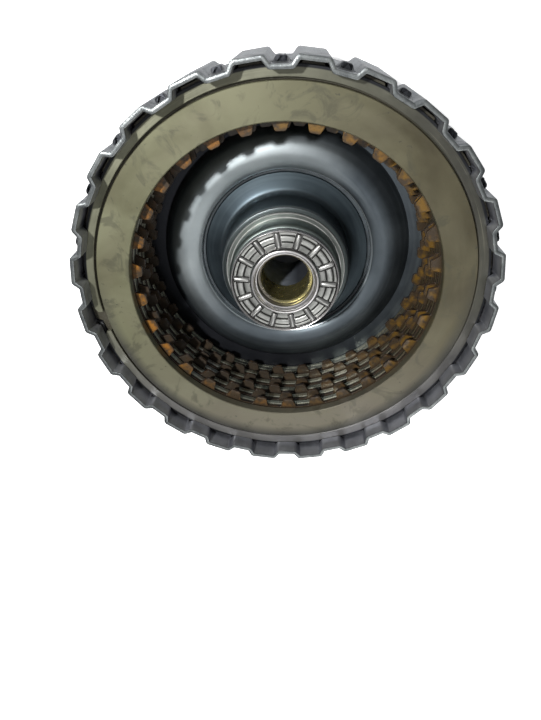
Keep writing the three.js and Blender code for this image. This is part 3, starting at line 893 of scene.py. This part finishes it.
def spline_outline(inset=0.0):
    """Outer outline of the steel plates, moved in by a small edge break."""
    corners = toothed(SPLINES, SPLINE_ROOT, SPLINE_ROOT_HALF, SPLINE_TIP, SPLINE_TIP_HALF)
    return rounded(offset(corners, -inset), (0.6, 0.6, 0.4, 0.4), (3, 0, 2, 0))


def backing_plate():
    top, bottom = depths("backing_plate")
    shoulder = GROOVE_BOTTOM
    full, broken = spline_outline(), spline_outline(0.25)
    section = [
        (circle_like(full, BORE), top + 0.35), (circle_like(full, BORE), bottom - 0.3),
        (circle_like(full, BORE + 0.3), bottom), (broken, bottom), (full, bottom - 0.25),
        (full, shoulder + 0.25), (broken, shoulder), (circle_like(full, RAISED_FACE + 0.25), shoulder),
        (circle_like(full, RAISED_FACE), shoulder - 0.25), (circle_like(full, RAISED_FACE), top + 0.3),
        (circle_like(full, RAISED_FACE - 0.3), top), (circle_like(full, BORE + 0.35), top),
    ]
    return ring_piece("fine_backing_plate", section)


def steel_plate(node):
    top, bottom = depths(node)
    full, broken = spline_outline(), spline_outline(0.2)
    bore = circle_like(full, BORE)
    bore_broken = circle_like(full, BORE + 0.28)
    return ring_piece("fine_" + node, [
        (bore, top + 0.28), (bore, bottom - 0.28), (bore_broken, bottom), (broken, bottom),
        (full, bottom - 0.2), (full, top + 0.2), (broken, top), (bore_broken, top),
    ])


def friction_plate(node, clocking):
    top, bottom = depths(node)
    edge = 0.16
    root_half = 180 / TEETH - TOOTH_ROOT_HALF
    corners = toothed(TEETH, TOOTH_TIP, TOOTH_TIP_HALF, TOOTH_ROOT, root_half, clocking)
    radii = (1.1, 1.1, 0.8, 0.8)
    teeth = rounded(corners, radii, (2, 0, 2, 0))
    broken = rounded(offset(corners, edge), radii, (2, 0, 2, 0))
    rim, rim_broken = circle_like(teeth, CORE_RIM), circle_like(teeth, CORE_RIM - edge)
    return ring_piece("fine_" + node, [
        (teeth, top + edge), (teeth, bottom - edge), (broken, bottom), (rim_broken, bottom),
        (rim, bottom - edge), (rim, top + edge), (rim_broken, top), (broken, top),
    ], [1, 0, 0, 0, 1, 0, 0, 0])


def lining(node, faces_up):
    """A paper ring with radial oil grooves in its working face."""
    top, bottom = depths(node)
    points_per_groove, groove_depth = 8, 0.26
    count = OIL_GROOVES * points_per_groove
    in_groove = np.isin(np.arange(count) % points_per_groove, (0, 1))
    step = groove_depth * in_groove
    upper = top + step if faces_up else top
    lower = bottom if faces_up else bottom - step
    bore, rim = circle(LINING_BORE, count), circle(LINING_RIM, count)
    return ring_piece("fine_" + node, [(bore, lower), (rim, lower), (rim, upper), (bore, upper)])


# ---------- pistons, spring and seals ----------


def apply_piston():
    edge = 0.4
    crown_end = 58.6, 49.6
    skirt_inside = SKIRT - PISTON_SHEET
    crown = smooth_line(
        [(WELL + 0.35, 48.7), (45.4, 47.8), (48.0, 47.1), (51.0, 46.8), (55.0, 47.6), crown_end], 6
    )
    slope = smooth_line([crown_end, (61.2, 52.2), (62.6, 54.1)], 3)[1:]
    under = smooth_line(
        [(skirt_inside, 55.2), (58.9, 53.1), (55.6, 50.2), (51.0, 49.0), (48.2, 49.3), (45.9, 50.6)], 5
    )
    skirt_bottom = depths("apply_piston")[1]
    flange_bottom = FLANGE_TOP + PISTON_SHEET
    floor_bottom = PISTON_FLOOR + PISTON_SHEET
    section = [
        (PISTON_BORE + edge, PISTON_FLOOR), (WELL - 1.2, PISTON_FLOOR), (WELL - 0.35, PISTON_FLOOR - 0.35),
        (WELL, WELL_BOTTOM), (WELL, 49.2), (WELL + 0.1, 48.9), *crown, *slope,
        (63.3, FLANGE_TOP), (PISTON_RIM - edge, FLANGE_TOP), (PISTON_RIM, FLANGE_TOP + edge),
        (PISTON_RIM, flange_bottom - edge), (PISTON_RIM - edge, flange_bottom), (SKIRT + 0.6, flange_bottom),
        (SKIRT, flange_bottom + 0.6), (SKIRT, skirt_bottom - edge), (SKIRT - edge, skirt_bottom),
        (skirt_inside + edge, skirt_bottom), (skirt_inside, skirt_bottom - edge), *under,
        (WELL + PISTON_SHEET, PISTON_FLOOR + 0.6), (45.1, floor_bottom - 0.5), (44.0, floor_bottom),
        (PISTON_BORE + edge, floor_bottom), (PISTON_BORE, floor_bottom - edge),
        (PISTON_BORE, PISTON_FLOOR + edge),
    ]
    return turned_piece("fine_apply_piston", section, 240)


def balance_piston():
    top = depths("balance_piston")[0]
    dish = smooth_line([(NECK, 45.4), (31.7, 47.4), (33.2, 49.2), (37.0, 50.2), (DISH_RIM - 0.4, 50.9)], 6)
    under = smooth_line([(36.6, 52.0), (32.6, 51.1), (30.4, 49.6), (29.5, 47.2)], 5)
    section = [(27.8, top), (29.6, top), (30.4, top + 0.25), (30.9, top + 0.9), (31.05, top + 2.0)]
    section += dish
    section += [(DISH_RIM, 51.3), (DISH_RIM, 52.3), (DISH_RIM - 0.4, 52.7)]
    section += under
    section += [(29.2, top + 2.2), (28.8, top + 1.8), (27.8, top + 1.8), (27.5, top + 1.5), (27.5, top + 0.3)]
    return turned_piece("fine_balance_piston", section, 200)


def return_spring():
    top, bottom = 51.1, 57.7
    corners = [
        (SPRING_BORE, top + 1.2), (SPRING_BORE + 0.2, top),
        (SPRING_RIM, bottom - 1.2), (SPRING_RIM - 0.2, bottom),
    ]
    section = rounded([np.array(corner) for corner in corners], (0.3,))
    return turned_piece("fine_return_spring", section, 160)


def seal(node, corners):
    section = rounded([np.array(p, float) for p in corners], (0.25,))
    return turned_piece("fine_" + node, section, 160)


# ---------- hub and bearing ----------


def hub():
    nose_top = depths("hub")[0]
    bush_end = BUSH_DEPTH + BUSH_LENGTH + 0.5
    section = [
        (BUSH_SEAT, nose_top + 2.5), (13.3, nose_top + 2.2), (13.7, nose_top + 2.15), (13.85, nose_top + 2.0),
        (14.5, nose_top + 0.9), (14.65, nose_top + 0.85), (14.8, nose_top + 0.2), (14.95, nose_top),
        (NOSE - 0.5, nose_top), (NOSE - 0.12, nose_top + 0.14), (NOSE, nose_top + 0.5),
        (NOSE, BEARING_SEAT_DEPTH), (HUB_TOP - 0.3, BEARING_SEAT_DEPTH), (HUB_TOP, BEARING_SEAT_DEPTH + 0.1),
        (LAND - 0.3, BEARING_SEAT_DEPTH + 0.9), (LAND, BEARING_SEAT_DEPTH + 1.5), (LAND, LAND_BOTTOM - 0.25),
        (LAND - 0.25, LAND_BOTTOM), (RETAINER_SEAT, LAND_BOTTOM), (RETAINER_SEAT, JOURNAL_TOP),
        (JOURNAL - 0.3, JOURNAL_TOP), (JOURNAL, JOURNAL_TOP + 0.3), (JOURNAL, POCKET_DEPTH - 0.8),
        (JOURNAL + 0.8, POCKET_DEPTH), (FLANGE - 0.3, POCKET_DEPTH), (FLANGE, POCKET_DEPTH + 0.3),
        (FLANGE, HEIGHT - 0.4), (FLANGE - 0.4, HEIGHT), (HUB_BORE + 0.8, HEIGHT), (HUB_BORE, HEIGHT - 0.8),
        (HUB_BORE, bush_end), (BUSH_SEAT, bush_end),
    ]
    seat, bore = section.index((NOSE, BEARING_SEAT_DEPTH)), section.index((HUB_BORE, HEIGHT - 0.8))
    ground_index, bore_index, nose_index = 0, 1, 2
    bands = [nose_index] * seat + [ground_index] * (bore - seat) + [bore_index] * (len(section) - bore)
    bands[-1] = nose_index
    return turned_piece("fine_hub", section, 160, bands)


def hub_bush():
    top, bottom = depths("hub_bush")
    rim = BUSH_SEAT - 0.3
    return turned_piece("fine_hub_bush", [
        (BUSH_BORE + 0.6, top), (rim - 0.15, top), (rim, top + 0.15), (rim, bottom - 0.2),
        (rim - 0.2, bottom), (BUSH_BORE + 0.3, bottom), (BUSH_BORE, bottom - 0.3), (BUSH_BORE, top + 0.6),
    ], 120)


def bearing_race():
    top, bottom = depths("bearing_race")
    track = 16.95
    lip = HUB_TOP - 0.1
    return turned_piece("fine_bearing_race", [
        (CAGE_BORE, bottom - 0.15), (CAGE_BORE, track + 0.15), (CAGE_BORE + 0.15, track), (24.1, track),
        (24.45, track - 0.35), (24.55, top + 0.3), (24.7, top + 0.08), (24.88, top), (lip - 0.15, top + 0.08),
        (lip, top + 0.3), (lip, bottom - 0.3), (lip - 0.3, bottom), (CAGE_BORE + 0.15, bottom),
    ], 160)


def roller_angles():
    return [ROLLER_CLOCKING + 360 * i / ROLLERS for i in range(ROLLERS)]


def bearing_cage():
    """A pressed sheet with a broad ridge between two lower bands, and a window for each roller."""
    top, bottom = depths("bearing_cage")
    drop = bottom - top - CAGE_SHEET
    crests = [
        (CAGE_BORE + 0.1, 0.9), (16.5, 0.5), (17.0, 0.38), (18.6, 0.38), (19.0, 0.55), (19.25, 0.95),
        (19.45, 0.95), (19.7, 0.35), (19.95, 0.08), (20.3, 0.0), (21.6, 0.0), (21.95, 0.08), (22.2, 0.35),
        (22.4, 0.95), (22.6, 0.95), (22.85, 0.4), (23.2, 0.22), (23.8, 0.22), (CAGE_RIM - 0.1, 0.8),
    ]
    upper = [(radius, top + drop * fall) for radius, fall in crests]
    lower = [(radius, top + drop * fall + CAGE_SHEET) for radius, fall in reversed(crests)]
    piece = turned_piece("fine_bearing_cage", upper + lower, 224)
    windows = []
    half_length, half_width = ROLLER_LENGTH / 2 + 0.3, ROLLER_RADIUS + 0.35
    for angle in roller_angles():
        across = polar(half_width, angle + 90)
        near, far = polar(ROLLER_CIRCLE - half_length, angle), polar(ROLLER_CIRCLE + half_length, angle)
        windows.append([near - across, far - across, far + across, near + across])
    cut(piece, prisms("window_tool", windows, top - 1, bottom + 1))
    return piece


def roller(node, angle):
    """A needle with rounded ends, lying along a radius."""
    round_end = 0.22
    half = ROLLER_LENGTH / 2
    profile = [
        (0.5, -half), (ROLLER_RADIUS - round_end, -half), (ROLLER_RADIUS - 0.07, -half + 0.07),
        (ROLLER_RADIUS, -half + round_end),
    ]
    profile += [(radius, -along) for radius, along in reversed(profile)]
    low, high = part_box(node)
    upward = np.array([0, 0, 1])
    outward = np.append(polar(1, angle), 0)
    sideways = np.append(polar(1, angle + 90), 0)
    middle = ROLLER_CIRCLE * outward + (low.z + high.z) / 2 / MM * upward
    segments = 32
    vertices, faces = [], []
    for radius, along in profile:
        for n in range(segments):
            spin = 2 * math.pi * n / segments
            spoke = radius * (math.cos(spin) * sideways + math.sin(spin) * upward)
            vertices.append(tuple((middle + along * outward + spoke) * MM))
    for s in range(len(profile) - 1):
        for n in range(segments):
            after = (n + 1) % segments
            here, following = s * segments, (s + 1) * segments
            faces.append((here + n, here + after, following + after, following + n))
    faces.append(tuple(range(segments)))
    faces.append(tuple((len(profile) - 1) * segments + n for n in range(segments)))
    return mesh_piece("fine_" + node, vertices, faces)


# ---------- camera, light and floor ----------


def camera():
    """Above the drum's open end and a little behind it, turned so that the drum's rear side is up."""
    data = bpy.data.cameras.new("camera")
    data.lens = 28.64
    data.sensor_width = 36
    data.clip_start = 0.01
    place_of_eye = Vector((6.0, 108.98, 299.59)) * MM
    back = Vector((0.04778, 0.52413, 0.85030)).normalized()
    up = Vector((0.00067, 0.85125, -0.52476))
    right = up.cross(back).normalized()
    up = back.cross(right)
    eye = bpy.data.objects.new("camera", data)
    eye.matrix_world = Matrix.Translation(place_of_eye) @ Matrix((right, up, back)).transposed().to_4x4()
    bpy.context.scene.collection.objects.link(eye)
    bpy.context.scene.camera = eye


def area_light(name, place_m, target_m, size_m, radiance):
    data = bpy.data.lights.new(name, "AREA")
    data.shape = "SQUARE"
    data.size = size_m
    data.energy = radiance * math.pi * size_m**2
    lamp = bpy.data.objects.new(name, data)
    lamp.location = place_m
    lamp.rotation_euler = (Vector(target_m) - Vector(place_m)).to_track_quat("-Z", "Y").to_euler()
    bpy.context.scene.collection.objects.link(lamp)


def studio():
    """Dim room that brightens towards the horizon, with broad lamps above and at the front, and a small
    bright key high at the rear left."""
    world = bpy.data.worlds.new("studio")
    world.use_nodes = True
    nodes, links = world.node_tree.nodes, world.node_tree.links
    direction = nodes.new("ShaderNodeTexCoord")
    parts = nodes.new("ShaderNodeSeparateXYZ")
    fade = nodes.new("ShaderNodeMapRange")
    fade.inputs["From Min"].default_value, fade.inputs["From Max"].default_value = 0.0, 0.85
    fade.inputs["To Min"].default_value, fade.inputs["To Max"].default_value = 0.33, 0.10
    links.new(direction.outputs["Generated"], parts.inputs["Vector"])
    links.new(parts.outputs["Z"], fade.inputs["Value"])
    links.new(fade.outputs["Result"], nodes["Background"].inputs["Strength"])
    nodes["Background"].inputs["Color"].default_value = (0.96, 0.98, 1.0, 1.0)
    scene = bpy.context.scene
    scene.world = world
    scene.view_settings.view_transform = "Standard"
    centre = (0.0, 0.0, 0.04)
    area_light("overhead", (0.0, -0.1, 1.12), centre, size_m=0.62, radiance=1.0)
    area_light("front", (0.20, -0.77, 0.80), centre, size_m=0.64, radiance=3.1)
    area_light("key", (-0.27, 0.27, 0.72), centre, size_m=0.042, radiance=1180.0)


def floor():
    half, below = 3.0, -0.0002
    corners = [(-half, -half, below), (half, -half, below), (half, half, below), (-half, half, below)]
    plane = mesh_piece("floor", corners, [(0, 1, 2, 3)])
    plane.data.materials.append(floor_paper())


# ---------- assembly ----------

camera()
studio()
floor()

plate_face = plate_steel()
core_film = friction_core()
core_edge = friction_core_edge()
paper = friction_paper()
black_rubber = rubber()
polished = turned_steel("bearing_polished", (0.62, 0.60, 0.595), (0.80, 0.78, 0.775), 0.22)
bright_nose = turned_steel("hub_nose_polished", (0.40, 0.39, 0.385), (0.54, 0.53, 0.525), 0.3)
ground = turned_steel("hub_ground", (0.17, 0.205, 0.19), (0.26, 0.30, 0.285), 0.36)
rolling = turned_steel("roller_steel", (0.27, 0.27, 0.262), (0.37, 0.37, 0.355), 0.36)

drum_inner = drum_inner_steel("drum_inner_steel", (0.28, 0.29, 0.325), (0.40, 0.41, 0.45), (0.50, 0.51, 0.55))
# Near-black painted shade inside the lugs' mouths.
lug_mouth_shade = drum_inner_steel("drum_lug_mouth", (0.015, 0.017, 0.02), (0.05, 0.053, 0.06), (0.14, 0.145, 0.16))
place(drum_shell(), "drum_shell", drum_rim_steel(), drum_inner, lug_mouth_shade)
place(backing_plate(), "backing_plate", backing_steel())
snap_ring = open_ring("backing_snap_ring", *BACKING_RING, taper=2.2, shift=0.55, shift_angle=140.0)
place(snap_ring, "backing_snap_ring", backing_ring_steel())
retainer_steel = ring_steel("retainer_steel", (0.13, 0.14, 0.13), (0.2, 0.215, 0.2), LAND, RETAINER_RING[1])
retainer = open_ring("retainer_snap_ring", *RETAINER_RING, taper=0.8)
place(retainer, "retainer_snap_ring", retainer_steel)

for number, clocking in enumerate(CLOCKING, 1):
    core, steel = f"friction_plate_{number}", f"steel_plate_{number}"
    place(friction_plate(core, clocking), core, core_film, core_edge)
    for lining_node, faces_up in ((f"lining_front_{number}", True), (f"lining_rear_{number}", False)):
        place(lining(lining_node, faces_up), lining_node, paper)
    place(steel_plate(steel), steel, plate_face)
place(steel_plate("cushion_plate"), "cushion_plate", plate_face)

place(apply_piston(), "apply_piston", piston_steel())
place(balance_piston(), "balance_piston", balance_steel())
spring_steel = ring_steel("spring_steel", (0.10, 0.10, 0.12), (0.2, 0.2, 0.22))
spring = place(return_spring(), "return_spring", spring_steel)
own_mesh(spring)
for node, corners in (
    ("piston_outer_seal", [(62.75, 58.0), (64.95, 58.0), (65.9, 61.4), (64.5, 60.4), (62.75, 61.8)]),
    ("piston_inner_seal", [(27.55, 59.3), (28.3, 58.0), (29.1, 58.0), (29.1, 60.2)]),
    ("balance_piston_seal", [(41.75, 51.0), (42.0, 50.8), (43.33, 50.8), (43.33, 53.0), (41.75, 53.0)]),
):
    place(seal(node, corners), node, black_rubber)

place(hub(), "hub", ground, shaded_bore(), bright_nose)
place(hub_bush(), "hub_bush", bronze())
place(bearing_race(), "bearing_race", polished)
place(bearing_cage(), "bearing_cage", cage_steel())
for number, angle in enumerate(roller_angles(), 1):
    node = f"roller_{number:02d}"
    place(roller(node, angle), node, rolling)
